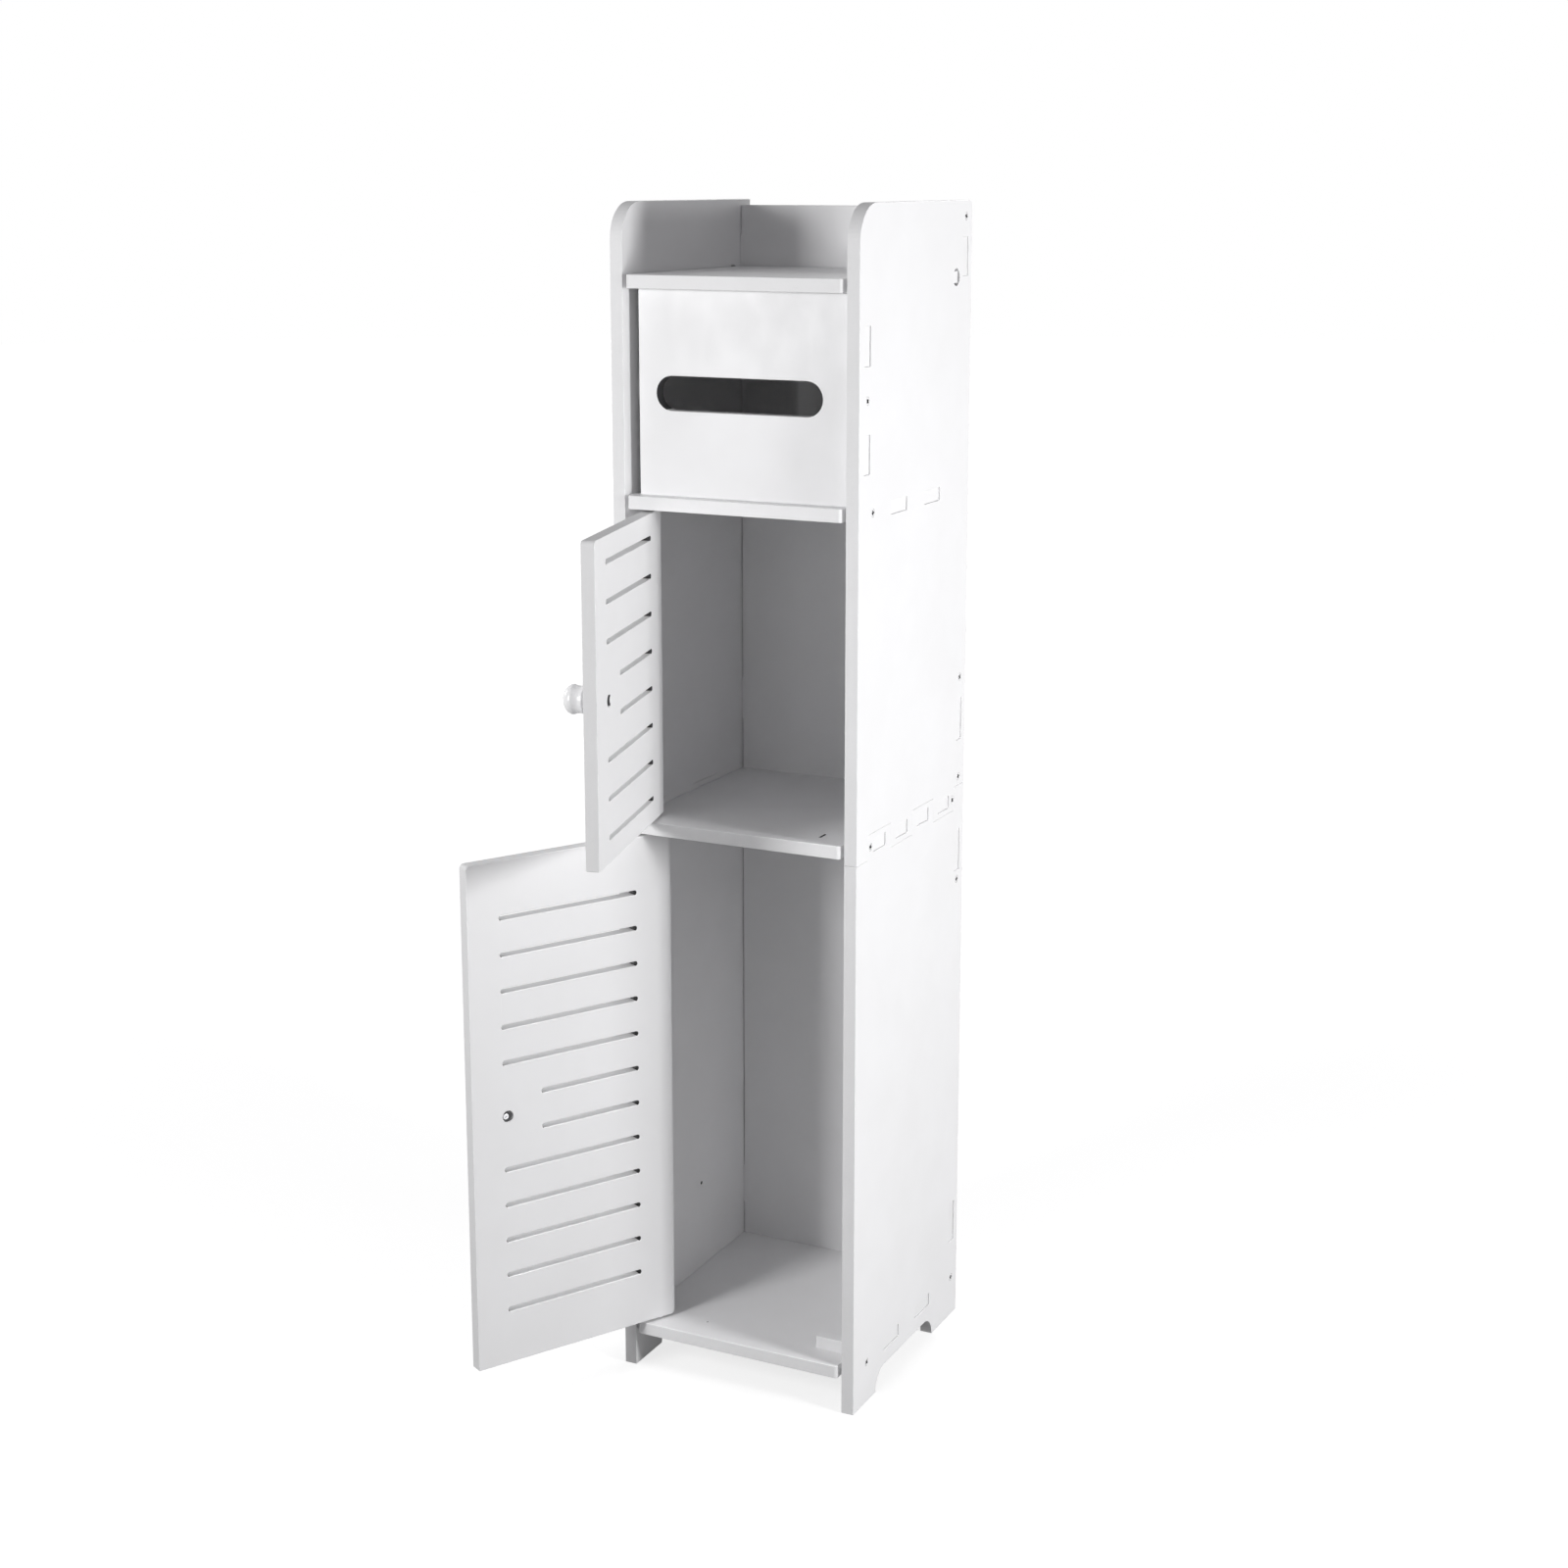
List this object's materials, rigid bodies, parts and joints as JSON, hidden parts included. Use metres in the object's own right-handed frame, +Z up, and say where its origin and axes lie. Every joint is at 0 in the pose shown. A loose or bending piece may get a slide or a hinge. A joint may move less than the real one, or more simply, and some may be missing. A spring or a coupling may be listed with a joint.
{
  "type": "toilet roll storage cabinet",
  "caption": "Narrow free-standing storage column with an open tray on a flip-up lid, a slotted paper compartment and two louvred door compartments on arched feet.",
  "frame": {"origin": "on the floor, under the middle of the column's own footprint, doors not counted", "axes": "+X to the right seen from the front, +Y to the back, +Z up; the open front faces -Y"},
  "size_m": [0.2943, 0.3865, 1],
  "materials": {
    "white_board": "satin white foamed PVC board",
    "white_knob": "smooth white moulded plastic",
    "steel": "bright zinc-plated steel"
  },
  "bodies": {
    "carcass": {"left_side_upper": "white_board", "left_side_lower": "white_board", "right_side_upper": "white_board", "right_side_lower": "white_board", "back_upper": "white_board", "back_lower": "white_board", "slot_panel": "white_board", "paper_shelf": "white_board", "middle_shelf": "white_board", "bottom_shelf": "white_board", "lower_door_stop": "white_board", "left_side_screws": "steel", "right_side_screws": "steel"},
    "lid": {"tray_lid": "white_board"},
    "upper_door": {"upper_door": "white_board", "upper_door_top_pin": "steel", "upper_door_bottom_pin": "steel", "upper_knob": "white_knob", "upper_knob_screw": "steel"},
    "lower_door": {"lower_door": "white_board", "lower_door_top_pin": "steel", "lower_door_bottom_pin": "steel", "lower_knob": "white_knob", "lower_knob_screw": "steel"}
  },
  "joints": [
    {"name": "lid_hinge", "type": "hinge", "parent": "carcass", "child": "lid", "pos_m": [0, 0.08, 0.9375], "axis": [-1, 0, 0], "range_deg": [0, 95]},
    {"name": "upper_door_hinge", "type": "hinge", "parent": "carcass", "child": "upper_door", "pos_m": [-0.0835, -0.097, 0.6245], "axis": [0, 0, 1], "range_deg": [-43, 76]},
    {"name": "lower_door_hinge", "type": "hinge", "parent": "carcass", "child": "lower_door", "pos_m": [-0.0835, -0.097, 0.2625], "axis": [0, 0, 1], "range_deg": [0, 119]}
  ]
}
